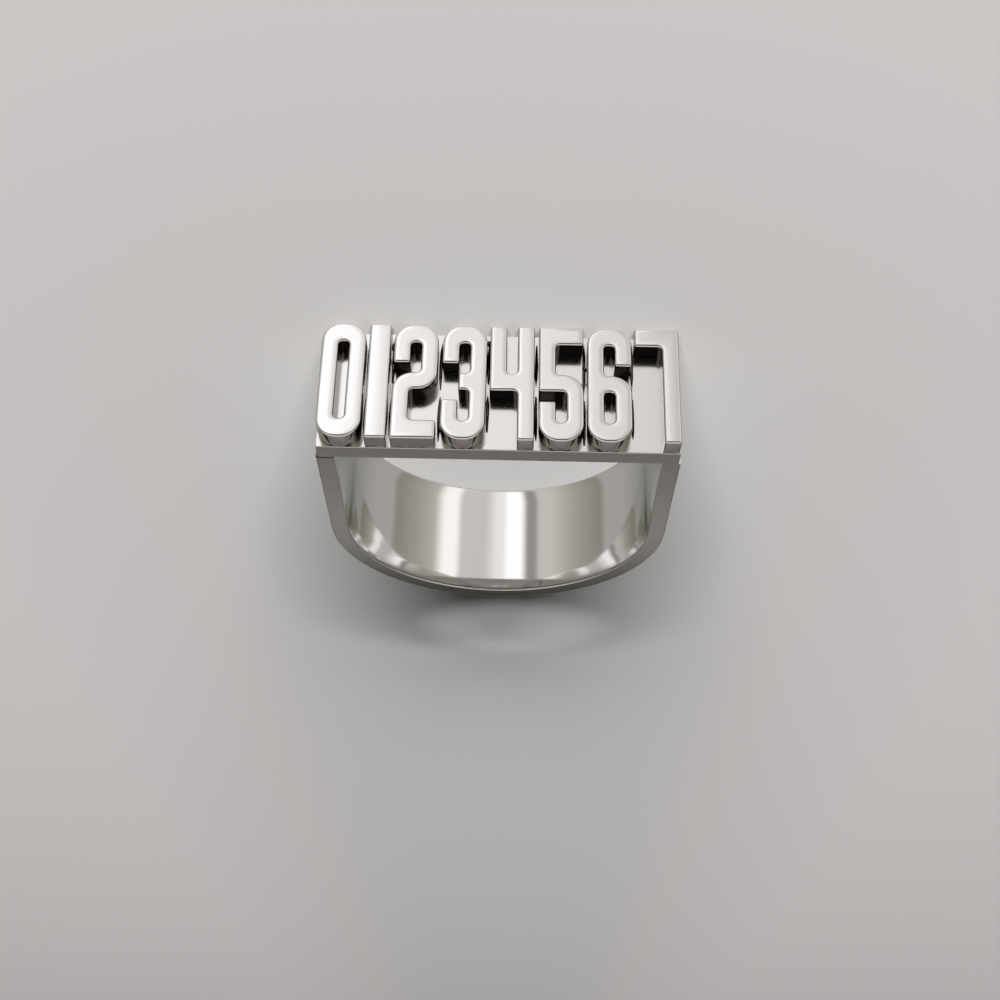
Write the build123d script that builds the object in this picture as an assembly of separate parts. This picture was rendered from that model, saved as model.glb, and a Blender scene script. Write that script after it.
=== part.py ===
from build123d import *
import os

# A polished square-top ring: a band of flat strip bent to a D, a flat plate across its two ends,
# and a row of tall block numerals standing on the plate, all soldered into one solid.
# Millimetres. The ring lies on its side: Z runs along the finger, the numerals face -Y, and
# the origin is on the rest surface, under the middle of the ring's outline.

# Band
hole_width = 18.0  # between the two straight sides
side_length = 8.9  # straight side, from the plate's underside to the start of the round
band_wall = 1.1  # thickness of the strip
ring_width = 7.4  # width of the strip, along the finger

# Top plate
plate_thickness = 1.15
plate_step = 0.1  # the plate's ends stop this far inside the band's sides

# Numerals
row_of_numerals = "01234567"
numeral_relief = 1.15  # how far the numerals stand off the plate
numeral_gap = 0.2  # between one numeral and the next
row_step = 0.05  # the row stops this far inside the plate's edges
bar_numeral_width = 1.2  # the one is a plain bar
counter_width = 0.6  # between a wide numeral's two uprights
end_bar_height = 1.15  # a wide numeral's top and bottom bars
middle_bar_height = 1.05
mouth_height = 0.65  # between a hook's tip and the middle bar
bowl_radius = 1.1  # round outside corners
edge_bevel = 0.09  # polished off along the edges of the faces
corner_softening = 0.05  # how much rounder a stroke's corners are than its edges

# Where things lie, from the sizes above
hole_radius = hole_width / 2
outer_radius = hole_radius + band_wall
depth = numeral_relief + plate_thickness + side_length + outer_radius
face_y = -depth / 2  # the numerals' faces
plate_top_y = face_y + numeral_relief
plate_under_y = plate_top_y + plate_thickness
round_centre_y = plate_under_y + side_length

plate_length = 2 * (outer_radius - plate_step)
row_length = plate_length - 2 * row_step
row_height = ring_width - 2 * row_step
bar_count = row_of_numerals.count("1")
wide_count = len(row_of_numerals) - bar_count
all_gaps = numeral_gap * (len(row_of_numerals) - 1)
wide_width = (row_length - all_gaps - bar_count * bar_numeral_width) / wide_count
stroke_width = (wide_width - counter_width) / 2
slot_height = (row_height - middle_bar_height) / 2 - end_bar_height - mouth_height
stroke_corner_radius = edge_bevel + corner_softening
counter_corner_radius = 0.45 * counter_width  # the counters' ends are nearly full rounds

# A wide numeral is three columns by seven rows, from the top row down. # is metal, o is metal
# with a round outside corner, and . is cut away. The one is a single column.
WIDE_COLUMNS = (stroke_width, counter_width, stroke_width)
BAR_COLUMNS = (bar_numeral_width,)
ROWS = (
    end_bar_height,
    slot_height,
    mouth_height,
    middle_bar_height,
    mouth_height,
    slot_height,
    end_bar_height,
)
NUMERALS = {
    "0": ("o#o", "#.#", "#.#", "#.#", "#.#", "#.#", "o#o"),
    "1": ("#", "#", "#", "#", "#", "#", "#"),
    "2": ("o#o", "#.#", "..#", "o#o", "#..", "#..", "###"),
    "3": ("o#o", "#.#", "..#", ".##", "..#", "#.#", "o#o"),
    "4": ("#.#", "#.#", "#.#", "###", "..#", "..#", "..#"),
    "5": ("###", "#..", "#..", "##o", "..#", "#.#", "o#o"),
    "6": ("o#o", "#.#", "#..", "##o", "#.#", "#.#", "o#o"),
    "7": ("###", "..#", "..#", "..#", "..#", "..#", "..#"),
}
OUTSIDE = "."
touching = 1e-4


def band():
    """The strip, straight down both sides and half a circle round the far end."""
    to_centre = Pos(0, round_centre_y)
    to_sides = Pos(0, (plate_under_y + round_centre_y) / 2)
    outer = to_centre * Circle(outer_radius) + to_sides * Rectangle(2 * outer_radius, side_length)
    hole = to_centre * Circle(hole_radius) + to_sides * Rectangle(hole_width, side_length)
    past_ends = Pos(0, plate_under_y - outer_radius) * Rectangle(4 * outer_radius, 2 * outer_radius)
    return extrude(outer - hole - past_ends, ring_width)


def top_plate():
    middle = Pos(0, (plate_top_y + plate_under_y) / 2, ring_width / 2)
    return middle * Box(plate_length, plate_thickness, ring_width)


def lines(sizes):
    """The lines between cells of these sizes, in order, about their middle."""
    at = [-sum(sizes) / 2]
    for size in sizes:
        at.append(at[-1] + size)
    return at


def corners(cells):
    """Where a numeral's outline turns, as (column line, row line, kind)."""
    edged = [OUTSIDE + row + OUTSIDE for row in cells]
    blank = OUTSIDE * len(edged[0])
    edged = [blank] + edged + [blank]
    found = []
    for row in range(len(cells) + 1):
        for column in range(len(cells[0]) + 1):
            around = edged[row][column : column + 2] + edged[row + 1][column : column + 2]
            metal = around.replace(OUTSIDE, "")
            at_side = column in (0, len(cells[0]))
            if len(metal) == 1:
                found.append((column, row, "bowl" if metal == "o" and at_side else "stroke"))
            elif len(metal) == 3:
                found.append((column, row, "counter"))
    return found


def numeral_outline(cells):
    """One numeral's outline about its own middle, with X to its right and Y up it."""
    across = lines(BAR_COLUMNS if len(cells[0]) == 1 else WIDE_COLUMNS)
    down = [-height for height in lines(ROWS)]
    outline = Rectangle(across[-1] - across[0], row_height)
    for row, signs in enumerate(cells):
        for column, sign in enumerate(signs):
            if sign == OUTSIDE:
                width = across[column + 1] - across[column]
                height = down[row] - down[row + 1]
                outline -= Pos(across[column] + width / 2, down[row] - height / 2) * Rectangle(width, height)
    radii = {"counter": counter_corner_radius, "stroke": stroke_corner_radius, "bowl": bowl_radius}
    for kind, radius in radii.items():
        points = [Vector(across[column], down[row]) for column, row, is_a in corners(cells) if is_a == kind]
        turns = [v for v in outline.vertices() if any((Vector(v) - p).length < touching for p in points)]
        if turns:
            outline = fillet(turns, radius)
    return outline


def numeral_block(cells, middle_x):
    """One raised numeral, with the edges of its face polished off. The row reads towards -X."""
    plate_top = Plane((middle_x, plate_top_y, ring_width / 2), x_dir=(-1, 0, 0), z_dir=(0, -1, 0))
    block = extrude(plate_top * numeral_outline(cells), numeral_relief)
    face = block.faces().sort_by(Axis.Y)[0]
    return chamfer(face.edges(), edge_bevel)


def numeral_row():
    blocks = []
    start = row_length / 2
    for sign in row_of_numerals:
        width = bar_numeral_width if sign == "1" else wide_width
        blocks.append(numeral_block(NUMERALS[sign], start - width / 2))
        start -= width + numeral_gap
    return blocks


ring = band() + top_plate()
for block in numeral_row():
    ring += block

os.makedirs("parts", exist_ok=True)
export_step(ring, "parts/ring.step")
print("ring", round(ring.volume, 1), "mm3", ring.bounding_box().size)
print("strokes", round(stroke_width, 3), "slots", round(slot_height, 3))
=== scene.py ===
import math
import random
from collections import namedtuple

import bmesh
import bpy
from bpy.props import FloatProperty, FloatVectorProperty, IntProperty, PointerProperty, StringProperty
from mathutils import Matrix, Quaternion, Vector


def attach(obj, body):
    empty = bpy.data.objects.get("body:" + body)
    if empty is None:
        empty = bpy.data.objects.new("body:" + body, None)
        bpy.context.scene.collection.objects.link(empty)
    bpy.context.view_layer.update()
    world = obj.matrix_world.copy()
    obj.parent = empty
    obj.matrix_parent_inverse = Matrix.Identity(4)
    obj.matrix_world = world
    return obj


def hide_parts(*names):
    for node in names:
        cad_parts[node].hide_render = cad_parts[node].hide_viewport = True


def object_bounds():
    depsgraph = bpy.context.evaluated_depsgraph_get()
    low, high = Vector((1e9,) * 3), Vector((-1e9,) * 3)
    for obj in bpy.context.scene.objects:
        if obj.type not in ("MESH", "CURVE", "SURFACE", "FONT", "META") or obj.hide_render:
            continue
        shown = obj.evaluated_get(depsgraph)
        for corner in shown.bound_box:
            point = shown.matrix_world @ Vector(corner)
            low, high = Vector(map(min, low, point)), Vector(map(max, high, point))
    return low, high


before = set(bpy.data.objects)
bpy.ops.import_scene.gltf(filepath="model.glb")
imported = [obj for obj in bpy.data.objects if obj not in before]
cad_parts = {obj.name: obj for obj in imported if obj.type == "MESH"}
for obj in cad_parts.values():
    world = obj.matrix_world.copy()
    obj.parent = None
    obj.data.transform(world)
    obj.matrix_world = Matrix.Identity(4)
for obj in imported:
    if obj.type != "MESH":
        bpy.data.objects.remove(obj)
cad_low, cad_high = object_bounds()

# A silver square-top ring: a band of flat strip bent to a D, a flat plate across its two ends, and
# a row of tall block numerals soldered to the plate. It lies on its side, with Z along the finger.
# Its numerals face -Y and its row reads towards -X. Lengths are in metres.

bl_info = {
    "name": "Square-top numeral ring",
    "version": (1, 1, 0),
    "blender": (4, 5, 0),
    "location": "View3D > Sidebar > Ring",
    "description": "Makes a polished silver ring with a row of block numerals, and a plain stage for it",
    "category": "Add Mesh",
}

MM = 0.001
BODY = "root"
SOLID = "ring"

# Places closer than this are the same
CLOSE = 0.001 * MM
# A face is square to an axis where its normal's part along that axis is over this
SQUARE = 0.99
# An edge that turns more than this is a corner, to be rounded
CORNER = math.radians(60)
# An edge that turns more than this is shaded as a crease
CREASE = math.radians(50)

# Cuts along each eased edge of the strip's inside, and segments of each kind of rounding
EASE_STEPS = 6
EDGE_SEGMENTS = 4
BOWL_SEGMENTS = 12
COUNTER_SEGMENTS = 6
FACE_SEGMENTS = 5

# The inputs of a colour Mix node, and its result
FACTOR, FIRST, SECOND, RESULT = 0, 6, 7, 2


class RingSizes(bpy.types.PropertyGroup):
    band_wall: FloatProperty(
        name="Band wall", description="Thickness of the strip", default=1.1 * MM, unit="LENGTH"
    )
    band_edge: FloatProperty(
        name="Band edge", description="Rounding of the strip's edges", default=0.05 * MM, unit="LENGTH"
    )
    seam_width: FloatProperty(
        name="Seam width", description="Dark solder where one end of the band meets the plate",
        default=0.16 * MM, unit="LENGTH",
    )
    band_ease: FloatProperty(
        name="Band ease", description="How far in from its long edges the strip's inside is eased",
        default=1.0 * MM, unit="LENGTH",
    )
    band_ease_depth: FloatProperty(
        name="Band ease depth", description="How far the eased inside falls away at the long edges",
        default=0.08 * MM, unit="LENGTH",
    )
    round_steps: IntProperty(
        name="Round steps", description="Facets round the band's half circle", default=144, min=24
    )
    plate_thickness: FloatProperty(
        name="Plate thickness", description="Thickness of the top plate",
        default=1.15 * MM, unit="LENGTH",
    )
    plate_step: FloatProperty(
        name="Plate step", description="How far the plate's ends stop inside the band's sides",
        default=0.1 * MM, unit="LENGTH",
    )
    plate_edge: FloatProperty(
        name="Plate edge", description="Rounding of the plate's edges", default=0.04 * MM, unit="LENGTH"
    )
    row: StringProperty(
        name="Numerals", description="The row, of numerals from 0 to 7", default="01234567"
    )
    relief: FloatProperty(
        name="Relief", description="How far the numerals stand off the plate",
        default=1.15 * MM, unit="LENGTH",
    )
    numeral_gap: FloatProperty(
        name="Gap", description="Between one numeral and the next", default=0.2 * MM, unit="LENGTH"
    )
    row_step: FloatProperty(
        name="Row step", description="How far the row stops inside the plate's edges",
        default=0.05 * MM, unit="LENGTH",
    )
    bar_width: FloatProperty(
        name="Bar numeral", description="Width of the one, a plain bar", default=1.2 * MM, unit="LENGTH"
    )
    counter_width: FloatProperty(
        name="Counter width", description="Between a wide numeral's uprights",
        default=0.6 * MM, unit="LENGTH",
    )
    end_bar: FloatProperty(
        name="End bar", description="Height of the top and bottom bars",
        default=1.15 * MM, unit="LENGTH",
    )
    middle_bar: FloatProperty(
        name="Middle bar", description="Height of the middle bar", default=1.05 * MM, unit="LENGTH"
    )
    mouth: FloatProperty(
        name="Mouth", description="Between a hook's tip and the middle bar",
        default=0.65 * MM, unit="LENGTH",
    )
    bowl_radius: FloatProperty(
        name="Bowl radius", description="Round outside corners", default=1.1 * MM, unit="LENGTH"
    )
    counter_end: FloatProperty(
        name="Counter end", description="Rounding of the counters' corners",
        default=0.27 * MM, unit="LENGTH",
    )
    face_edge: FloatProperty(
        name="Face edge", description="Rounding polished along the faces' edges",
        default=0.12 * MM, unit="LENGTH",
    )
    face_ease: FloatProperty(
        name="Face ease", description="How far in from its rounding a face is eased", default=0.2 * MM,
        unit="LENGTH",
    )
    face_ease_depth: FloatProperty(
        name="Face ease depth", description="How far the eased face falls away", default=0.012 * MM,
        unit="LENGTH",
    )
    askew: FloatProperty(
        name="Askew", description="The most that a numeral is turned out of line",
        default=math.radians(0.3), subtype="ANGLE",
    )


class SilverColours(bpy.types.PropertyGroup):
    polished: StringProperty(
        name="Polished", description="sRGB hex of the bright silver", default="#e9e7e8"
    )
    film: StringProperty(
        name="Film", description="sRGB hex of the band at a slant", default="#eff1ee"
    )
    satin: StringProperty(
        name="Satin", description="sRGB hex of the rubbed edges", default="#dedad6"
    )
    dull: StringProperty(
        name="Dull", description="sRGB hex of the sawn and filed silver", default="#d2cbc5"
    )
    # Painted shade, for the walls deep in the row's counters and slots
    recess: StringProperty(
        name="Recess", description="sRGB hex of the counters' walls", default="#6f6862"
    )
    # The solder's dark flux, and the painted shade at the numerals' feet
    tarnish: StringProperty(
        name="Tarnish", description="sRGB hex of the dark corners", default="#2a211d"
    )
    grain: StringProperty(
        name="Grain", description="sRGB hex of the filed plate's grey grain", default="#a39c97"
    )
    solder: StringProperty(
        name="Solder", description="sRGB hex of the bare solder", default="#8d837c"
    )


class StageSettings(bpy.types.PropertyGroup):
    # Painted shadow: the paper is darker by the ring and down the middle behind it
    paper_middle: StringProperty(
        name="Paper", description="sRGB hex of the paper by the ring", default="#c9c8c6"
    )
    paper_sides: StringProperty(
        name="Paper sides", description="sRGB hex away to the sides", default="#d8d1d1"
    )
    wall: StringProperty(
        name="Wall", description="sRGB hex of the wall beyond the paper", default="#d2cecd"
    )
    floor_radius: FloatProperty(
        name="Floor radius", description="Of the sheet of paper", default=1.4, unit="LENGTH"
    )
    ambient: FloatProperty(
        name="Ambient", description="Brightness of the room's plain light", default=0.04, min=0
    )
    reflected: FloatProperty(
        name="Reflected", description="Brightness of the room that the silver mirrors",
        default=1.25, min=0,
    )
    camera_target: FloatVectorProperty(
        name="Target", description="Where the camera looks",
        default=(-0.124 * MM, -3.532 * MM, 7.4 * MM), subtype="TRANSLATION",
    )
    camera_distance: FloatProperty(
        name="Camera distance", description="From the target", default=85.807 * MM, unit="LENGTH"
    )
    camera_azimuth: FloatProperty(
        name="Camera azimuth", description="Round the ring, from the numerals' side",
        default=math.radians(-0.528), subtype="ANGLE",
    )
    camera_elevation: FloatProperty(
        name="Camera elevation", description="Above the floor",
        default=math.radians(26.995), subtype="ANGLE",
    )
    camera_roll: FloatProperty(
        name="Camera roll", description="The camera is upside down, as the ring lies on its side",
        default=math.radians(-178.556), subtype="ANGLE",
    )
    lens: FloatProperty(name="Lens", description="Focal length on a 36 mm sensor", default=53.098)


# What follows from the sizes
Layout = namedtuple(
    "Layout",
    "width outer_radius hole_radius face_y plate_top_y plate_under_y round_centre_y plate_length"
    " row_length row_height wide_width stroke_width slot_height",
)

# A wide numeral is three columns by seven rows, from the top row down. # is metal, o is metal
# with a round outside corner, and . is cut away. The one is a single column.
OUTSIDE = "."
BAR_SIGN = "1"
NUMERALS = {
    "0": ("o#o", "#.#", "#.#", "#.#", "#.#", "#.#", "o#o"),
    "1": ("#", "#", "#", "#", "#", "#", "#"),
    "2": ("o#o", "#.#", "..#", "o#o", "#..", "#..", "###"),
    "3": ("o#o", "#.#", "..#", ".##", "..#", "#.#", "o#o"),
    "4": ("#.#", "#.#", "#.#", "###", "..#", "..#", "..#"),
    "5": ("###", "#..", "#..", "##o", "..#", "#.#", "o#o"),
    "6": ("o#o", "#.#", "#..", "##o", "#.#", "#.#", "o#o"),
    "7": ("###", "..#", "..#", "..#", "..#", "..#", "..#"),
}

# A numeral is modelled flat, with X to its right, Y up it and its face towards Z. Stood on the
# plate, its right is towards -X, its top towards -Z and its face towards -Y.
STANDING = Matrix(((-1, 0, 0, 0), (0, 0, -1, 0), (0, -1, 0, 0), (0, 0, 0, 1)))

# The two rows of a lower counter, which is closed where both have metal on each side
LOWER_MOUTH, LOWER_SLOT = 4, 5
CLOSED = "#.#"


def layout(sizes):
    """Places and sizes that follow from the named sizes and the CAD box."""
    width = cad_high.z - cad_low.z
    outer_radius = cad_high.x
    plate_top_y = cad_low.y + sizes.relief
    plate_length = 2 * (outer_radius - sizes.plate_step)
    row_length = plate_length - 2 * sizes.row_step
    row_height = width - 2 * sizes.row_step
    bars = sizes.row.count(BAR_SIGN)
    gaps = (len(sizes.row) - 1) * sizes.numeral_gap
    wide_width = (row_length - gaps - bars * sizes.bar_width) / (len(sizes.row) - bars)
    return Layout(
        width=width,
        outer_radius=outer_radius,
        hole_radius=outer_radius - sizes.band_wall,
        face_y=cad_low.y,
        plate_top_y=plate_top_y,
        plate_under_y=plate_top_y + sizes.plate_thickness,
        round_centre_y=cad_high.y - outer_radius,
        plate_length=plate_length,
        row_length=row_length,
        row_height=row_height,
        wide_width=wide_width,
        stroke_width=(wide_width - sizes.counter_width) / 2,
        slot_height=(row_height - sizes.middle_bar) / 2 - sizes.end_bar - sizes.mouth,
    )


def numeral_places(sizes, at):
    """Each sign of the row with the middle of its place, and the middles of the gaps between them."""
    signs, gaps = [], []
    start = at.row_length / 2
    for sign in sizes.row:
        width = sizes.bar_width if sign == BAR_SIGN else at.wide_width
        signs.append((sign, start - width / 2))
        start -= width + sizes.numeral_gap
        gaps.append(start + sizes.numeral_gap / 2)
    return signs, gaps[:-1]


def linear(hex_colour):
    """An sRGB hex colour as linear RGBA."""
    parts = [int(hex_colour[i : i + 2], 16) / 255 for i in (1, 3, 5)]
    return [c / 12.92 if c <= 0.04045 else ((c + 0.055) / 1.055) ** 2.4 for c in parts] + [1.0]


def add_node(tree, kind, inputs=None, **settings):
    """Adds a node, with its settings, and each input set to a value or linked from a socket."""
    node = tree.nodes.new(kind)
    for name, value in settings.items():
        setattr(node, name, value)
    for key, value in (inputs or {}).items():
        if isinstance(value, bpy.types.NodeSocket):
            tree.links.new(value, node.inputs[key])
        else:
            node.inputs[key].default_value = value
    return node


def new_material(name):
    """A new material, its node tree, and the place on the object that its patterns follow."""
    material = bpy.data.materials.new(name)
    material.use_nodes = True
    tree = material.node_tree
    tree.nodes.clear()
    return material, tree, add_node(tree, "ShaderNodeTexCoord").outputs["Object"]


def wavy_surface(tree, place, wave_length, wave_height, detail=1.0):
    """The slight waves that work by hand leaves, as a bumped normal."""
    waves = add_node(
        tree,
        "ShaderNodeTexNoise",
        {"Vector": place, "Scale": 1 / wave_length, "Detail": detail, "Roughness": 0.4},
    )
    bump = add_node(
        tree,
        "ShaderNodeBump",
        {"Height": waves.outputs["Fac"], "Distance": wave_height, "Strength": 1.0},
    )
    return bump.outputs["Normal"]


def mottled(tree, place, patch, roughness, darker, lighter):
    """A colour that wanders between two, in patches of a size."""
    mottle = add_node(
        tree,
        "ShaderNodeTexNoise",
        {"Vector": place, "Scale": 1 / patch, "Detail": 4.0, "Roughness": roughness},
    )
    shade = add_node(
        tree,
        "ShaderNodeMix",
        {FACTOR: mottle.outputs["Fac"], FIRST: linear(darker), SECOND: linear(lighter)},
        data_type="RGBA",
    )
    return shade.outputs[RESULT]


def bare_metal(tree, colour, roughness, normal, at_a_slant="#ffffff"):
    """Ends the tree in bare metal, whose mirroring takes the last colour's tint at a slant."""
    shader = add_node(
        tree,
        "ShaderNodeBsdfPrincipled",
        {
            "Base Color": colour,
            "Metallic": 1.0,
            "Roughness": roughness,
            "Specular Tint": linear(at_a_slant),
            "Normal": normal,
        },
    )
    add_node(tree, "ShaderNodeOutputMaterial", {"Surface": shader.outputs[0]})


def wheel_polished_silver(colours, name="wheel_polished_silver", **slant):
    """Sterling silver, buffed on a wheel with rouge: a bright mirror, slightly wavy."""
    material, tree, place = new_material(name)
    normal = wavy_surface(tree, place, 3.5 * MM, 0.0035 * MM)
    bare_metal(tree, linear(colours.polished), 0.08, normal, **slant)
    return material


def stick_polished_silver(colours):
    """The same, but buffed inside with a felt stick, which leaves a thin grey film. It shows where
    the hole's sides mirror each other at a slant."""
    return wheel_polished_silver(colours, "stick_polished_silver", at_a_slant=colours.film)


def satin_silver(colours):
    """Sterling silver rubbed flat on fine emery paper: a soft, slightly mottled grey sheen."""
    material, tree, place = new_material("satin_silver")
    shade = mottled(tree, place, 1.2 * MM, 0.6, colours.dull, colours.satin)
    bare_metal(tree, shade, 0.08, wavy_surface(tree, place, 1.5 * MM, 0.001 * MM, 3.0))
    return material


def filed_silver(colours):
    """Silver that was filed flat before the numerals went on: bright, with a fine grey grain that
    no polishing wheel reaches. Only the grain's peaks show, at half strength."""
    material, tree, place = new_material("filed_silver")
    grain = add_node(
        tree,
        "ShaderNodeTexNoise",
        {"Vector": place, "Scale": 1 / (0.1 * MM), "Detail": 3.0, "Roughness": 0.7},
    )
    spots = add_node(
        tree,
        "ShaderNodeMapRange",
        {
            "Value": grain.outputs["Fac"],
            "From Min": 0.58,
            "From Max": 0.78,
            "To Min": 0.0,
            "To Max": 0.5,
        },
        interpolation_type="SMOOTHSTEP",
    )
    shade = add_node(
        tree,
        "ShaderNodeMix",
        {FACTOR: spots.outputs[0], FIRST: linear(colours.polished), SECOND: linear(colours.grain)},
        data_type="RGBA",
    )
    normal = wavy_surface(tree, place, 0.8 * MM, 0.002 * MM, 3.0)
    bare_metal(tree, shade.outputs[RESULT], 0.16, normal)
    return material


def sawn_wall_silver(colours, at):
    """The numerals' sawn and filed walls, which polishing hardly reaches: dull where a file could
    follow, on the row's outside. Deeper in the row, in the counters and slots, they are darkened
    with painted shade, and at the feet with painted shade in speckled patches."""
    material, tree, place = new_material("sawn_wall_silver")
    # Between these depths from the row's outside the walls darken with painted shade, and this high the
    # painted shade at the feet climbs
    outside_depth = (0.1 * MM, 0.6 * MM)
    foot_height = 0.6 * MM
    axes = add_node(tree, "ShaderNodeSeparateXYZ", {0: place}).outputs
    depths = []
    for axis, middle, half in (("X", 0.0, at.row_length / 2), ("Z", at.width / 2, at.row_height / 2)):
        centred = add_node(tree, "ShaderNodeMath", {0: axes[axis], 1: middle}, operation="SUBTRACT")
        outwards = add_node(tree, "ShaderNodeMath", {0: centred.outputs[0]}, operation="ABSOLUTE")
        inside = add_node(
            tree,
            "ShaderNodeMapRange",
            {
                "Value": outwards.outputs[0],
                "From Min": half - outside_depth[0],
                "From Max": half - outside_depth[1],
                "To Min": 0.0,
                "To Max": 1.0,
            },
            interpolation_type="SMOOTHSTEP",
        )
        depths.append(inside.outputs[0])
    # Painted shade: 1 deep in the row's counters and slots, 0 on its outside
    recessed = add_node(tree, "ShaderNodeMath", {0: depths[0], 1: depths[1]}, operation="MULTIPLY")
    specks = add_node(
        tree,
        "ShaderNodeTexNoise",
        {"Vector": place, "Scale": 1 / (0.5 * MM), "Detail": 3.0, "Roughness": 0.6},
    )
    # Painted shade at the feet, where the walls meet the plate
    near_foot = add_node(
        tree,
        "ShaderNodeMapRange",
        {
            "Value": axes["Y"],
            "From Min": at.plate_top_y - foot_height,
            "From Max": at.plate_top_y,
            "To Min": 0.0,
            "To Max": 1.0,
        },
        interpolation_type="SMOOTHSTEP",
    )
    dirt = add_node(
        tree, "ShaderNodeMath", {0: near_foot.outputs[0], 1: specks.outputs["Fac"]}, operation="MULTIPLY"
    )
    # The painted shade at the feet shows in speckled patches, and nowhere hides all of the metal
    dark = add_node(
        tree,
        "ShaderNodeMapRange",
        {"Value": dirt.outputs[0], "From Min": 0.35, "From Max": 0.65, "To Min": 0.0, "To Max": 0.6},
        interpolation_type="SMOOTHSTEP",
    )
    # The filed walls' dull colour, with painted shade deeper in the row
    filed = add_node(
        tree,
        "ShaderNodeMix",
        {FACTOR: recessed.outputs[0], FIRST: linear(colours.dull), SECOND: linear(colours.recess)},
        data_type="RGBA",
    )
    shade = add_node(
        tree,
        "ShaderNodeMix",
        {FACTOR: dark.outputs[0], FIRST: filed.outputs[RESULT], SECOND: linear(colours.tarnish)},
        data_type="RGBA",
    )
    normal = wavy_surface(tree, place, 0.8 * MM, 0.002 * MM, 2.0)
    bare_metal(tree, shade.outputs[RESULT], 0.12, normal)
    return material


def silver_solder(colours):
    """Silver solder that ran out of the joints: lumpy, pitted and half dark with flux."""
    material, tree, place = new_material("silver_solder")
    shade = mottled(tree, place, 0.25 * MM, 0.7, colours.tarnish, colours.solder)
    bare_metal(tree, shade, 0.3, wavy_surface(tree, place, 0.15 * MM, 0.01 * MM))
    return material


def finishes(context):
    """The ring's materials by name, made once."""
    colours = context.scene.ring_colours
    at = layout(context.scene.ring_sizes)
    makers = {
        "wheel_polished_silver": lambda: wheel_polished_silver(colours),
        "stick_polished_silver": lambda: stick_polished_silver(colours),
        "satin_silver": lambda: satin_silver(colours),
        "filed_silver": lambda: filed_silver(colours),
        "sawn_wall_silver": lambda: sawn_wall_silver(colours, at),
        "silver_solder": lambda: silver_solder(colours),
    }
    return {name: bpy.data.materials.get(name) or make() for name, make in makers.items()}


def add_object(name, bm, materials):
    """Writes the bmesh to an object at the origin, smooth but where it turns or its finish changes."""
    for edge in bm.edges:
        one_finish = len({face.material_index for face in edge.link_faces}) == 1
        edge.smooth = one_finish and edge.calc_face_angle(0.0) < CREASE
    for face in bm.faces:
        face.smooth = True
    mesh = bpy.data.meshes.new(name)
    bm.to_mesh(mesh)
    bm.free()
    for material in materials:
        mesh.materials.append(material)
    piece = bpy.data.objects.new(name, mesh)
    bpy.context.scene.collection.objects.link(piece)
    return piece


def add_piece(name, bm, materials):
    """A piece of the ring, with its broad faces shaded flat up to the rounded edges."""
    bmesh.ops.recalc_face_normals(bm, faces=bm.faces)
    piece = add_object(name, bm, materials)
    weighted = piece.modifiers.new("flat_faces", "WEIGHTED_NORMAL")
    weighted.keep_sharp = True
    weighted.weight = 100  # the largest face at a point decides how it is shaded
    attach(piece, BODY)
    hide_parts(SOLID)
    return piece


def round_edges(bm, edges, radius, segments):
    if edges:
        bmesh.ops.bevel(
            bm, geom=edges, offset=radius, offset_type="OFFSET", segments=segments, profile=0.5,
            affect="EDGES", material=-1, clamp_overlap=True,
        )


def is_corner(edge):
    return edge.calc_face_angle(0.0) > CORNER


def of_kind(geom, kind):
    return [item for item in geom if isinstance(item, kind)]


def add_block(bm, size, middle):
    block = bmesh.ops.create_cube(bm, size=1)["verts"]
    bmesh.ops.scale(bm, vec=size, verts=block)
    bmesh.ops.translate(bm, vec=middle, verts=block)


def cut_across(bm, place, normal):
    """Cuts every face that crosses a plane, and keeps both sides."""
    everything = bm.verts[:] + bm.edges[:] + bm.faces[:]
    bmesh.ops.bisect_plane(bm, geom=everything, plane_co=place, plane_no=normal)


def band_side(sizes, at):
    """The band's straight side on +X, with its inside eased towards the long edges."""
    bm = bmesh.new()
    length = at.round_centre_y - at.plate_under_y
    middle_x = (at.hole_radius + at.outer_radius) / 2
    middle = (middle_x, (at.plate_under_y + at.round_centre_y) / 2, at.width / 2)
    add_block(bm, (sizes.band_wall, length, at.width), middle)
    for step in range(1, EASE_STEPS + 1):
        inwards = sizes.band_ease * step / EASE_STEPS
        for z in (inwards, at.width - inwards):
            cut_across(bm, (0, 0, z), (0, 0, 1))
    for vert in bm.verts:
        from_edge = min(vert.co.z, at.width - vert.co.z)
        if vert.co.x < middle_x and from_edge < sizes.band_ease:
            vert.co.x += sizes.band_ease_depth * (1 - from_edge / sizes.band_ease) ** 2
    return bm


def bend_round(bm, sizes, at):
    """Takes the side on, half a circle round the far end and straight down the other side."""
    bm.normal_update()
    far_end = [face for face in bm.faces if face.normal.y > SQUARE]
    turned = bmesh.ops.spin(
        bm, geom=far_end, cent=(0, at.round_centre_y, 0), axis=(0, 0, 1), angle=math.pi,
        steps=sizes.round_steps, use_merge=False, use_duplicate=False,
    )["geom_last"]
    turned = of_kind(turned, bmesh.types.BMFace)
    other_side = bmesh.ops.extrude_face_region(bm, geom=turned)["geom"]
    down = (0, at.plate_under_y - at.round_centre_y, 0)
    bmesh.ops.translate(bm, vec=down, verts=of_kind(other_side, bmesh.types.BMVert))
    left_inside = [face for face in far_end + turned if face.is_valid]
    bmesh.ops.delete(bm, geom=left_inside, context="FACES")


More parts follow.
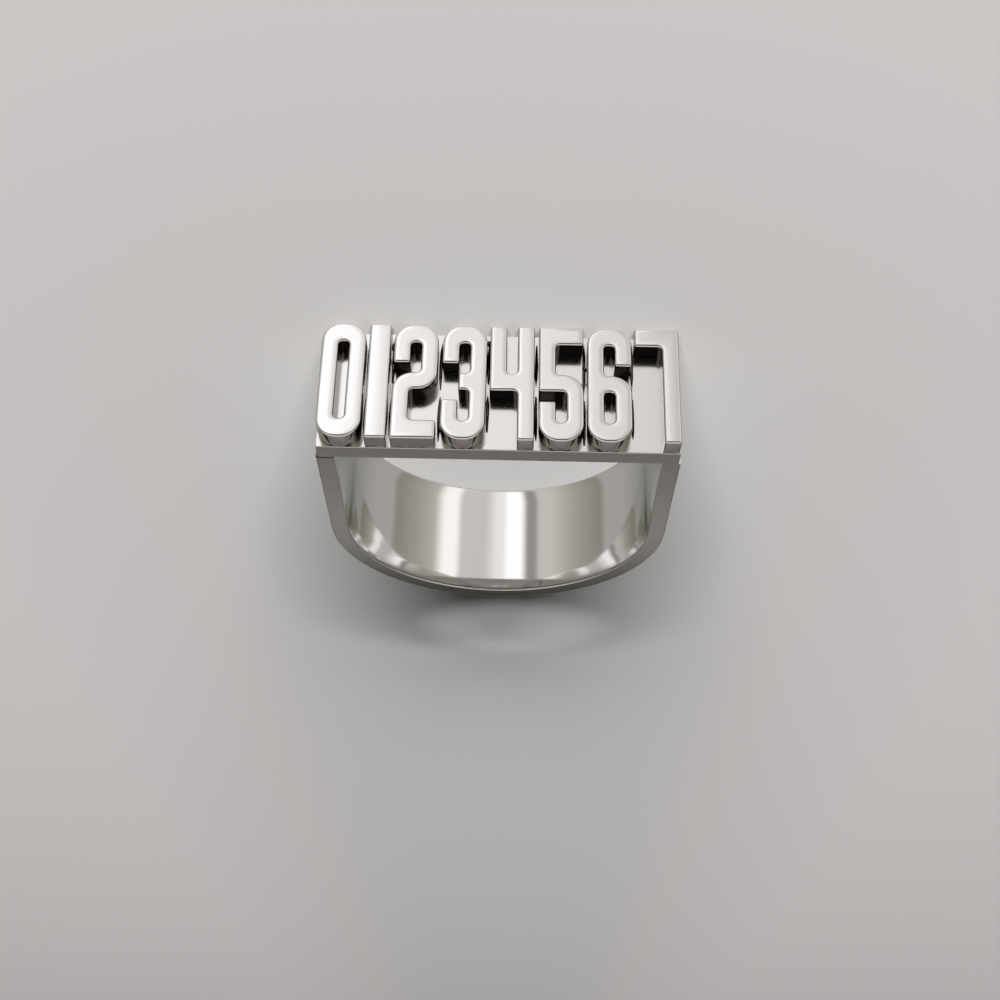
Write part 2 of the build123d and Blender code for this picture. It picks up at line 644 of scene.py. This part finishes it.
class RING_OT_add_band(bpy.types.Operator):
    """Adds the band: flat strip, straight down both sides and half a circle round the far end"""

    bl_idname = "ring.add_band"
    bl_label = "Add band"

    def execute(self, context):
        sizes = context.scene.ring_sizes
        at = layout(sizes)
        finish = finishes(context)
        bm = band_side(sizes, at)
        bend_round(bm, sizes, at)
        seam_y = at.plate_under_y + sizes.seam_width
        cut_across(bm, (0, seam_y, 0), (0, 1, 0))
        bmesh.ops.recalc_face_normals(bm, faces=bm.faces)
        # At the end on -X the joint is filled flush, so its corners aren't rounded
        filled_end = at.plate_under_y + CLOSE
        to_round = [
            edge for edge in bm.edges
            if is_corner(edge) and any(vert.co.x > 0 or vert.co.y > filled_end for vert in edge.verts)
        ]
        round_edges(bm, to_round, sizes.band_edge, EDGE_SEGMENTS)
        polished, satin, solder = range(3)
        for face in bm.faces:
            middle = face.calc_center_median()
            if middle.x > 0 and middle.y < seam_y:
                face.material_index = solder
            elif abs(face.normal.z) > SQUARE:
                face.material_index = satin
            else:
                face.material_index = polished
        materials = [finish["stick_polished_silver"], finish["satin_silver"], finish["silver_solder"]]
        add_piece("band", bm, materials)
        return {"FINISHED"}


class RING_OT_add_plate(bpy.types.Operator):
    """Adds the flat plate across the band's two ends"""

    bl_idname = "ring.add_plate"
    bl_label = "Add top plate"

    def execute(self, context):
        sizes = context.scene.ring_sizes
        at = layout(sizes)
        finish = finishes(context)
        bm = bmesh.new()
        middle = (0, (at.plate_top_y + at.plate_under_y) / 2, at.width / 2)
        add_block(bm, (at.plate_length, sizes.plate_thickness, at.width), middle)
        for x in (-at.hole_radius, at.hole_radius):
            cut_across(bm, (x, 0, 0), (1, 0, 0))

        def on_band(edge):
            """True for an edge of the two strips that lie on the band's ends."""
            underneath = all(vert.co.y > at.plate_under_y - CLOSE for vert in edge.verts)
            over_hole = abs(edge.verts[0].co.x + edge.verts[1].co.x) < CLOSE
            return underneath and not over_hole

        to_round = [edge for edge in bm.edges if is_corner(edge) and not on_band(edge)]
        round_edges(bm, to_round, sizes.plate_edge, EDGE_SEGMENTS)
        polished, satin, filed = range(3)
        for face in bm.faces:
            if abs(face.normal.z) > SQUARE or abs(face.normal.x) > SQUARE:
                face.material_index = satin
            elif face.normal.y < -SQUARE:
                face.material_index = filed
            else:
                face.material_index = polished
        materials = [finish["wheel_polished_silver"], finish["satin_silver"], finish["filed_silver"]]
        add_piece("top_plate", bm, materials)
        return {"FINISHED"}


def lines(spaces):
    """The lines between spaces of these sizes, in order, about their middle."""
    at = [-sum(spaces) / 2]
    for space in spaces:
        at.append(at[-1] + space)
    return at


def numeral_lines(cells, sizes, at):
    """A numeral's column lines, from its left, and its row lines, from the top down."""
    widths = (at.stroke_width, sizes.counter_width, at.stroke_width)
    if len(cells[0]) == 1:
        widths = (sizes.bar_width,)
    upper_half = (sizes.end_bar, at.slot_height, sizes.mouth)
    heights = upper_half + (sizes.middle_bar,) + upper_half[::-1]
    return lines(widths), [-line for line in lines(heights)]


def corners(cells):
    """Where a numeral's outline turns, as (column line, row line, kind)."""
    edged = [OUTSIDE + row + OUTSIDE for row in cells]
    blank = OUTSIDE * len(edged[0])
    edged = [blank] + edged + [blank]
    found = []
    for row in range(len(cells) + 1):
        for column in range(len(cells[0]) + 1):
            around = edged[row][column : column + 2] + edged[row + 1][column : column + 2]
            metal = around.replace(OUTSIDE, "")
            at_side = column in (0, len(cells[0]))
            if len(metal) == 1:
                found.append((column, row, "bowl" if metal == "o" and at_side else "stroke"))
            elif len(metal) == 3:
                found.append((column, row, "counter"))
    return found


def numeral_outline(bm, cells, across, down):
    """One numeral's flat outline: a grid of its cells, less those that are cut away. Round a closed
    counter it stays in two parts, which meet across the middle of the strokes beside it."""
    columns, rows = len(across) - 1, len(down) - 1
    grid = bmesh.ops.create_grid(bm, x_segments=columns, y_segments=rows, size=1)["verts"]
    in_order = sorted(grid, key=lambda vert: (-round(vert.co.y, 3), vert.co.x))
    for index, vert in enumerate(in_order):
        row, column = divmod(index, len(across))
        vert.co = (across[column], down[row], 0)
    cut = []
    for face in bm.faces:
        middle = face.calc_center_median()
        column = sum(line < middle.x for line in across) - 1
        row = sum(line > middle.y for line in down) - 1
        if cells[row][column] == OUTSIDE:
            cut.append(face)
    bmesh.ops.delete(bm, geom=cut, context="FACES")
    if cells[LOWER_MOUTH] == cells[LOWER_SLOT] == CLOSED:
        for edge in bm.edges:
            edge.seam = all(abs(vert.co.y - down[LOWER_SLOT]) < CLOSE for vert in edge.verts)
    bmesh.ops.dissolve_limit(
        bm, angle_limit=math.radians(1), verts=bm.verts[:], edges=bm.edges[:],
        use_dissolve_boundaries=False, delimit={"SEAM"},
    )


def numeral_block(cells, sizes, at):
    """One numeral about its own middle, standing up Z from its foot, with its face's edges rounded
    and the face itself eased a little towards them."""
    across, down = numeral_lines(cells, sizes, at)
    bm = bmesh.new()
    numeral_outline(bm, cells, across, down)
    raised = bmesh.ops.extrude_face_region(bm, geom=bm.faces[:], use_keep_orig=True)["geom"]
    rise = sizes.relief - sizes.face_ease_depth
    bmesh.ops.translate(bm, vec=(0, 0, rise), verts=of_kind(raised, bmesh.types.BMVert))
    bmesh.ops.recalc_face_normals(bm, faces=bm.faces)

    def uprights(kind):
        """The edges that stand on the outline's corners of a kind."""
        places = [
            Vector((across[column], down[row])) for column, row, is_a in corners(cells) if is_a == kind
        ]
        found = []
        for edge in bm.edges:
            foot, head = (vert.co.xy for vert in edge.verts)
            if (foot - head).length < CLOSE and any((foot - place).length < CLOSE for place in places):
                found.append(edge)
        return found

    def top_faces():
        return [face for face in bm.faces if face.normal.z > SQUARE]

    round_edges(bm, uprights("bowl"), sizes.bowl_radius, BOWL_SEGMENTS)
    round_edges(bm, uprights("counter"), sizes.counter_end, COUNTER_SEGMENTS)
    face_rim = {edge for face in top_faces() for edge in face.edges if is_corner(edge)}
    round_edges(bm, list(face_rim) + uprights("stroke"), sizes.face_edge, FACE_SEGMENTS)
    bmesh.ops.inset_region(
        bm, faces=top_faces(), thickness=sizes.face_ease, depth=sizes.face_ease_depth,
        use_even_offset=True, use_boundary=True,
    )
    return bm


# Which draws shape the row, how far one numeral may stand off its place, as a share of the gap, and
# how little a wall faces -Y
ROW_SEED = 5
MOST_SHIFT = 0.2
WALL_NORMAL_Y = -0.2


class RING_OT_add_numerals(bpy.types.Operator):
    """Adds the row of block numerals, each sawn out by hand, so that no two stand quite alike"""

    bl_idname = "ring.add_numerals"
    bl_label = "Add numerals"

    def execute(self, context):
        sizes = context.scene.ring_sizes
        at = layout(sizes)
        finish = finishes(context)
        if set(sizes.row) - set(NUMERALS):
            raise ValueError("the row holds a sign other than " + ", ".join(NUMERALS))
        signs, _ = numeral_places(sizes, at)
        row = bmesh.new()
        by_hand = random.Random(ROW_SEED)
        for sign, middle_x in signs:
            block = numeral_block(NUMERALS[sign], sizes, at)
            askew = Matrix.Rotation(by_hand.uniform(-sizes.askew, sizes.askew), 4, "Z")
            shift = by_hand.uniform(-MOST_SHIFT, MOST_SHIFT) * sizes.numeral_gap
            stand = Matrix.Translation((middle_x + shift, at.plate_top_y, at.width / 2)) @ STANDING
            bmesh.ops.transform(block, matrix=stand @ askew, verts=block.verts)
            mesh = bpy.data.meshes.new("numeral")
            block.to_mesh(mesh)
            block.free()
            row.from_mesh(mesh)
            bpy.data.meshes.remove(mesh)
        polished, sawn = range(2)
        for face in row.faces:
            face.material_index = sawn if face.normal.y > WALL_NORMAL_Y else polished
        add_piece("numerals", row, [finish["wheel_polished_silver"], finish["sawn_wall_silver"]])
        return {"FINISHED"}


def flat_foot(cells, sizes, at):
    """From where to where, about its middle, a numeral's foot lies straight along the row's edge."""
    across, _ = numeral_lines(cells, sizes, at)
    metal = [column for column, sign in enumerate(cells[-1]) if sign != OUTSIDE]
    inset = sizes.bowl_radius if "o" in cells[-1] else 0.0
    return across[metal[0]] + inset, across[metal[-1] + 1] - inset


# The solder's lumps. Their half-width is a share of the gap, and the runs' middles are shares of the
# strip's width. A bridge lies this far under the faces, and a bead is sunk by a share of its radius.
SOLDER_SEED = 11
LUMP_WIDTH = 0.55
RUN_MIDDLES = (0.27, 0.72)
BRIDGE_DEPTH = 0.35 * MM
BRIDGE_RADIUS = 0.2 * MM
BEADS_EACH = 2
BEAD_SUNK = 0.3
LUMPINESS = (0.8, 1.05)


class RING_OT_add_solder(bpy.types.Operator):
    """Adds the solder that shows: runs low in the gaps, bridges across them, and beads at the feet"""

    bl_idname = "ring.add_solder"
    bl_label = "Add solder"

    def execute(self, context):
        sizes = context.scene.ring_sizes
        at = layout(sizes)
        finish = finishes(context)
        signs, gaps = numeral_places(sizes, at)
        by_hand = random.Random(SOLDER_SEED)
        across = LUMP_WIDTH * sizes.numeral_gap
        lumps = []
        for index, gap_x in enumerate(gaps):
            for middle in RUN_MIDDLES:
                place = (gap_x, at.plate_top_y, (middle + by_hand.uniform(-0.03, 0.03)) * at.width)
                run = (across, by_hand.uniform(0.15, 0.28) * MM, by_hand.uniform(0.17, 0.24) * at.width)
                lumps.append((place, run))
            if index % 2:
                place = (gap_x, at.face_y + BRIDGE_DEPTH, by_hand.uniform(0.12, 0.88) * at.width)
                lumps.append((place, (across, BRIDGE_RADIUS, by_hand.uniform(0.1, 0.3) * MM)))
        front_z = at.width - sizes.row_step
        for sign, middle_x in signs * BEADS_EACH:
            radius = by_hand.uniform(0.025, 0.05) * MM
            along = by_hand.uniform(*flat_foot(NUMERALS[sign], sizes, at))
            inside = BEAD_SUNK * radius
            place = (middle_x - along, at.plate_top_y - inside, front_z - inside)
            lumps.append((place, (by_hand.uniform(1.5, 4) * radius, radius, radius)))
        bm = bmesh.new()
        for place, radii in lumps:
            matrix = Matrix.LocRotScale(Vector(place), None, Vector(radii))
            for vert in bmesh.ops.create_icosphere(bm, subdivisions=2, radius=1, matrix=matrix)["verts"]:
                vert.co = Vector(place).lerp(vert.co, by_hand.uniform(*LUMPINESS))
        add_piece("solder", bm, [finish["silver_solder"]])
        return {"FINISHED"}


# The studio, as the polished silver mirrors it. A card stands between two bearings, in degrees from
# the numerals' side towards +X, and fades out on each side. Later cards lie over earlier ones.
Card = namedtuple("Card", "name start end fade_before fade_after colour")
CARDS = (
    Card("broad pale card", 1, 19, 14, 4, "#e4e2de"),
    Card("bright middle of it", 9, 17, 6, 5, "#ffffff"),
    Card("dark gap beside it", 25, 29, 4, 6, "#8c8b87"),
    Card("narrow white card", -43, -36, 12, 7, "#f6f4ee"),
)
# The walls behind the cards, by their bearing either way
WALLS = (
    (0, "#bcbbb6"),
    (25, "#c0bfba"),
    (45, "#bbb9b2"),
    (60, "#a3a198"),
    (72, "#95938a"),
    (88, "#868378"),
    (92, "#88857c"),
    (97, "#9e9c97"),
    (118, "#9c9a97"),
    (180, "#7a7a78"),
)
# The far wall and the ceiling over it, by elevation: a dark shelf, then grey up to the zenith
FAR_WALL = (
    (0, "#84837f"),
    (12, "#3a3936"),
    (20, "#1c1a18"),
    (23.2, "#1d1c1a"),
    (24.2, "#5a5b59"),
    (25.2, "#8b8b88"),
    (26.6, "#7f807c"),
    (29, "#6b6767"),
    (40, "#8a8784"),
    (60, "#a3a09d"),
    (90, "#c8c6c4"),
)
# The rest of the room: the paper below, the strip level with the ring, the wall on the numerals'
# side with the ceiling over it, and the dark round the camera
PAPER_BELOW = "#c0bfbd"
LEVEL_STRIP = "#8c8e80"
NEAR_WALL = "#8f8d86"
CEILING = "#c8c6c4"
CAMERA_SIDE = "#1f1e1c"
# The dark's middle, 27 degrees up in front, and its radius and fade, in degrees
TOWARDS_CAMERA = (0, -0.891, 0.454)
CAMERA_SPREAD = (18, 8)
# Where one part gives way to the next, from one elevation to another, in degrees
PAPER_TO_CARDS = (-60, -42)
CARDS_TO_LEVEL = (-19, -11)
LEVEL_TO_HIGH = (2, 14)
WALL_TO_CEILING = (12, 60)
# The same from the near half to the far half, by the direction's Y
NEAR_TO_FAR = (-0.2, 0.2)


def tones(tree, degrees, most, stops):
    """Colours by an angle, from stops of degrees and sRGB hex."""
    share = add_node(tree, "ShaderNodeMath", {0: degrees, 1: most}, operation="DIVIDE")
    ramp = add_node(tree, "ShaderNodeValToRGB", {"Fac": share.outputs[0]})
    for index, (angle, colour) in enumerate(stops):
        if index < 2:
            stop = ramp.color_ramp.elements[index]
            stop.position = angle / most
        else:
            stop = ramp.color_ramp.elements.new(angle / most)
        stop.color = linear(colour)
    return ramp.outputs["Color"]


def with_cards(tree, bearing, colour):
    """Lays the cards, one after another, over the walls' colour."""
    for card in CARDS:
        shown = []
        before = (card.start - card.fade_before, card.start)
        after = (card.end + card.fade_after, card.end)
        for start, end in (before, after):
            side = add_node(
                tree,
                "ShaderNodeMapRange",
                {"Value": bearing, "From Min": start, "From Max": end, "To Min": 0.0, "To Max": 1.0},
                interpolation_type="SMOOTHSTEP",
            )
            shown.append(side.outputs[0])
        both = add_node(tree, "ShaderNodeMath", {0: shown[0], 1: shown[1]}, operation="MULTIPLY")
        laid = add_node(
            tree,
            "ShaderNodeMix",
            {FACTOR: both.outputs[0], FIRST: colour, SECOND: linear(card.colour)},
            data_type="RGBA",
        )
        colour = laid.outputs[RESULT]
    return colour


def disc(tree, direction, towards, radius, fade):
    """1 within a radius of a direction, falling softly to 0 over the fade, both in degrees."""
    dot = add_node(
        tree,
        "ShaderNodeVectorMath",
        {0: direction, 1: Vector(towards).normalized()},
        operation="DOT_PRODUCT",
    )
    return add_node(
        tree,
        "ShaderNodeMapRange",
        {
            "Value": dot.outputs["Value"],
            "From Min": math.cos(math.radians(radius + fade)),
            "From Max": math.cos(math.radians(radius)),
            "To Min": 0.0,
            "To Max": 1.0,
        },
        interpolation_type="SMOOTHSTEP",
    ).outputs[0]


def faded(tree, value, change, below, above):
    """One colour below where the change starts, another above its end, and a soft change between."""
    start, end = change
    share = add_node(
        tree,
        "ShaderNodeMapRange",
        {"Value": value, "From Min": start, "From Max": end, "To Min": 0.0, "To Max": 1.0},
        interpolation_type="SMOOTHSTEP",
    )
    colour = add_node(
        tree,
        "ShaderNodeMix",
        {FACTOR: share.outputs[0], FIRST: below, SECOND: above},
        data_type="RGBA",
    )
    return colour.outputs[RESULT]


def studio_world(settings):
    """The room: a plain light for the paper, and for the silver the cards low in front of the ring,
    the dark round the camera above them, the far wall, and the paper that the ring lies on."""
    world = bpy.data.worlds.new("studio")
    world.cycles.sampling_method = "NONE"  # its light on the paper is even
    world.use_nodes = True
    tree = world.node_tree
    tree.nodes.clear()
    direction = add_node(tree, "ShaderNodeTexCoord").outputs["Generated"]
    axes = add_node(tree, "ShaderNodeSeparateXYZ", {0: direction})
    ahead = add_node(tree, "ShaderNodeMath", {0: axes.outputs["Y"], 1: -1.0}, operation="MULTIPLY")
    turn = add_node(
        tree, "ShaderNodeMath", {0: axes.outputs["X"], 1: ahead.outputs[0]}, operation="ARCTAN2"
    )
    bearing = add_node(tree, "ShaderNodeMath", {0: turn.outputs[0]}, operation="DEGREES").outputs[0]
    either_way = add_node(tree, "ShaderNodeMath", {0: bearing}, operation="ABSOLUTE").outputs[0]
    rise = add_node(tree, "ShaderNodeMath", {0: axes.outputs["Z"]}, operation="ARCSINE")
    elevation = add_node(tree, "ShaderNodeMath", {0: rise.outputs[0]}, operation="DEGREES").outputs[0]

    low = with_cards(tree, bearing, tones(tree, either_way, 180, WALLS))
    low = faded(tree, elevation, PAPER_TO_CARDS, linear(PAPER_BELOW), low)
    level = faded(tree, elevation, CARDS_TO_LEVEL, low, linear(LEVEL_STRIP))
    near = faded(tree, elevation, WALL_TO_CEILING, linear(NEAR_WALL), linear(CEILING))
    camera_disc = disc(tree, direction, TOWARDS_CAMERA, *CAMERA_SPREAD)
    by_camera = add_node(
        tree,
        "ShaderNodeMix",
        {FACTOR: camera_disc, FIRST: near, SECOND: linear(CAMERA_SIDE)},
        data_type="RGBA",
    )
    far = tones(tree, elevation, 90, FAR_WALL)
    high = faded(tree, axes.outputs["Y"], NEAR_TO_FAR, by_camera.outputs[RESULT], far)
    mirrored = faded(tree, elevation, LEVEL_TO_HIGH, level, high)

    # Beyond the paper there is a pale wall. The silver mirrors the room, but throws none of it on
    # the paper.
    path = add_node(tree, "ShaderNodeLightPath")
    paper_not_met = add_node(
        tree, "ShaderNodeMath", {0: path.outputs["Diffuse Depth"], 1: 0.5}, operation="LESS_THAN"
    )
    in_silver = add_node(
        tree,
        "ShaderNodeMath",
        {0: path.outputs["Is Glossy Ray"], 1: paper_not_met.outputs[0]},
        operation="MULTIPLY",
    )
    wall = add_node(tree, "ShaderNodeBackground", {"Color": linear(settings.wall), "Strength": 1.0})
    ambient = add_node(
        tree, "ShaderNodeBackground", {"Color": linear("#ffffff"), "Strength": settings.ambient}
    )
    plain = add_node(
        tree,
        "ShaderNodeMixShader",
        {0: path.outputs["Is Diffuse Ray"], 1: wall.outputs[0], 2: ambient.outputs[0]},
    )
    studio = add_node(tree, "ShaderNodeBackground", {"Color": mirrored, "Strength": settings.reflected})
    both = add_node(
        tree, "ShaderNodeMixShader", {0: in_silver.outputs[0], 1: plain.outputs[0], 2: studio.outputs[0]}
    )
    add_node(tree, "ShaderNodeOutputWorld", {"Surface": both.outputs[0]})
    return world


def backdrop_paper(settings):
    """Pale matt paper with a painted shadow: darker grey by the ring and down the middle behind it,
    and a little pinker and lighter away to the sides and the front.
    """
    material, tree, place = new_material("backdrop_paper")
    axes = add_node(tree, "ShaderNodeSeparateXYZ", {0: place}).outputs
    # Behind the ring only the distance to the side counts, so the painted shadow runs on down the middle
    before = add_node(tree, "ShaderNodeMath", {0: axes["Y"], 1: 0.0}, operation="MINIMUM")
    offset = add_node(tree, "ShaderNodeCombineXYZ", {"X": axes["X"], "Y": before.outputs[0]})
    away = add_node(tree, "ShaderNodeVectorMath", {0: offset.outputs[0]}, operation="LENGTH")
    share = add_node(
        tree,
        "ShaderNodeMapRange",
        {
            "Value": away.outputs["Value"],
            "From Min": 6 * MM,
            "From Max": 46 * MM,
            "To Min": 0.0,
            "To Max": 1.0,
        },
        interpolation_type="SMOOTHSTEP",
    )
    shade = add_node(
        tree,
        "ShaderNodeMix",
        {
            FACTOR: share.outputs[0],
            FIRST: linear(settings.paper_middle),
            SECOND: linear(settings.paper_sides),
        },
        data_type="RGBA",
    )
    shader = add_node(
        tree, "ShaderNodeBsdfPrincipled", {"Base Color": shade.outputs[RESULT], "Roughness": 0.9}
    )
    add_node(tree, "ShaderNodeOutputMaterial", {"Surface": shader.outputs[0]})
    return material


def add_floor(settings):
    """A round sheet of paper, so wide that its rim shows only from low down."""
    bm = bmesh.new()
    bmesh.ops.create_circle(bm, cap_ends=True, radius=settings.floor_radius, segments=128)
    bmesh.ops.recalc_face_normals(bm, faces=bm.faces)
    floor = add_object("floor", bm, [backdrop_paper(settings)])
    floor.visible_glossy = False


# Each lamp stands at a bearing from the numerals' side towards +X and at an elevation, in degrees,
# and its power is in watts. A soft box faces the ring from its distance. A spot lamp faces the
# middle of a round patch of the paper.
SoftBox = namedtuple("SoftBox", "name distance bearing elevation width height power")
SOFT_BOXES = (
    SoftBox("key", 3.0, -1, 14.8, 1.7, 0.09, 187),
    SoftBox("fill", 1.3, 0, 7.0, 0.8, 0.24, 46),
)
Spot = namedtuple("Spot", "name patch_x patch_y patch_radius bearing elevation blend power")
SPOTS = (
    Spot("hole_lamp", 0.0, 0.9 * MM, 9.7 * MM, 0, 80, 0.05, 2.75),
    Spot("kick_lamp", -1 * MM, 34.2 * MM, 6.8 * MM, 90, 47, 1.0, 1.9),
)
SPOT_DISTANCE = 0.3
SPOT_SOFTNESS = 0.5 * MM


def from_front(bearing, elevation):
    """The direction at a bearing from the numerals' side towards +X, and at an elevation."""
    return Vector(
        (
            math.sin(bearing) * math.cos(elevation),
            -math.cos(bearing) * math.cos(elevation),
            math.sin(elevation),
        )
    )


def add_lamp(context, light, towards, place):
    """Stands a lamp in a direction from what it faces, unseen by the camera and the silver."""
    lamp = bpy.data.objects.new(light.name, light)
    lamp.location = place
    lamp.rotation_euler = towards.to_track_quat("Z", "Y").to_euler()
    lamp.visible_glossy = False
    lamp.visible_camera = False
    context.scene.collection.objects.link(lamp)


def add_lights(context):
    """Two soft boxes, a small lamp down through the finger hole onto the paper, and another for the
    light that the band's polished back throws into its shadow."""
    for box in SOFT_BOXES:
        light = bpy.data.lights.new(box.name, "AREA")
        light.shape = "RECTANGLE"
        light.size = box.width
        light.size_y = box.height
        light.energy = box.power
        towards = from_front(math.radians(box.bearing), math.radians(box.elevation))
        add_lamp(context, light, towards, towards * box.distance)
    for spot in SPOTS:
        light = bpy.data.lights.new(spot.name, "SPOT")
        light.energy = spot.power
        light.shadow_soft_size = SPOT_SOFTNESS
        light.spot_size = 2 * math.atan(spot.patch_radius / SPOT_DISTANCE)
        light.spot_blend = spot.blend
        towards = from_front(math.radians(spot.bearing), math.radians(spot.elevation))
        patch = Vector((spot.patch_x, spot.patch_y, 0))
        add_lamp(context, light, towards, towards * SPOT_DISTANCE + patch)


def add_camera(context, settings):
    """The camera, upside down in front of the numerals, as the ring lies on its side."""
    data = bpy.data.cameras.new("camera")
    data.sensor_width = 36
    data.lens = settings.lens
    data.clip_start = 0.005
    data.clip_end = 5
    camera = bpy.data.objects.new("camera", data)
    back = from_front(settings.camera_azimuth, settings.camera_elevation)
    camera.location = Vector(settings.camera_target) + back * settings.camera_distance
    level = (-back).to_track_quat("-Z", "Y")
    camera.rotation_mode = "QUATERNION"
    camera.rotation_quaternion = level @ Quaternion((0, 0, 1), settings.camera_roll)
    context.scene.collection.objects.link(camera)
    context.scene.camera = camera


class RING_OT_set_stage(bpy.types.Operator):
    """Sets the stage: a paper floor, the room, soft light and the camera"""

    bl_idname = "ring.set_stage"
    bl_label = "Set stage"

    def execute(self, context):
        settings = context.scene.ring_stage
        add_floor(settings)
        add_lights(context)
        context.scene.world = studio_world(settings)
        context.scene.view_settings.view_transform = "Standard"
        add_camera(context, settings)
        return {"FINISHED"}


class RING_PT_maker(bpy.types.Panel):
    bl_label = "Square-top ring"
    bl_space_type = "VIEW_3D"
    bl_region_type = "UI"
    bl_category = "Ring"

    def draw(self, context):
        for operator in OPERATORS:
            self.layout.operator(operator.bl_idname)


OPERATORS = (
    RING_OT_add_band,
    RING_OT_add_plate,
    RING_OT_add_numerals,
    RING_OT_add_solder,
    RING_OT_set_stage,
)
CLASSES = (RingSizes, SilverColours, StageSettings) + OPERATORS + (RING_PT_maker,)


def register():
    for each in CLASSES:
        bpy.utils.register_class(each)
    bpy.types.Scene.ring_sizes = PointerProperty(type=RingSizes)
    bpy.types.Scene.ring_colours = PointerProperty(type=SilverColours)
    bpy.types.Scene.ring_stage = PointerProperty(type=StageSettings)


def unregister():
    del bpy.types.Scene.ring_stage
    del bpy.types.Scene.ring_colours
    del bpy.types.Scene.ring_sizes
    for each in reversed(CLASSES):
        bpy.utils.unregister_class(each)


def main():
    register()
    bpy.ops.ring.add_band()
    bpy.ops.ring.add_plate()
    bpy.ops.ring.add_numerals()
    bpy.ops.ring.add_solder()
    bpy.ops.ring.set_stage()


if __name__ == "__main__":
    main()
